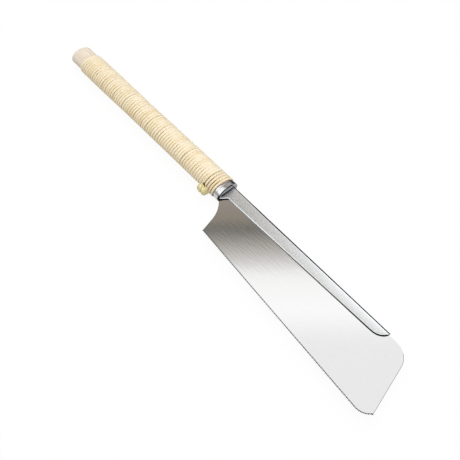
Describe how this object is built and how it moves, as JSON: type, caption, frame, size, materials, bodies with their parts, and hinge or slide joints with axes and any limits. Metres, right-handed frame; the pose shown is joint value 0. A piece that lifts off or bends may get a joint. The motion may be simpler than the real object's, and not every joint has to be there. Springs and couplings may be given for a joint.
{
  "type": "dozuki saw",
  "caption": "Fine pull saw with a thin toothed blade under a folded steel spine, plugged into a socket in a long oval wooden handle bound with cane and capped by a steel ferrule.",
  "frame": {"origin": "middle of the flat butt face of the handle, on the blade's middle plane", "axes": "+X along the handle from the butt to the toe of the blade, +Y towards the back of the spine (teeth face -Y), +Z normal to the blade"},
  "size_m": [0.5518, 0.0834, 0.024],
  "materials": {
    "bare_wood": "sanded pale wood, bare",
    "cane": "peeled rattan cane, lightly glossy",
    "ferrule_steel": "polished steel",
    "hidden_steel": "plain mild steel",
    "spine_steel": "satin steel with a fine cross grain",
    "blade_steel": "ground spring steel, half bright"
  },
  "bodies": {
    "handle": {"handle_core": "bare_wood", "rattan_wrap": "cane", "rattan_front_wrap": "cane", "rattan_knot": "cane", "ferrule": "ferrule_steel", "ferrule_pin_upper": "hidden_steel", "ferrule_pin_lower": "hidden_steel", "socket_sleeve": "hidden_steel", "socket_pin": "hidden_steel"},
    "blade_unit": {"spine": "spine_steel", "saw_blade": "blade_steel"}
  },
  "joints": [
    {"name": "blade_pull", "type": "slide", "parent": "handle", "child": "blade_unit", "axis": [1, 0, 0], "range_m": [0, 0.05]}
  ]
}
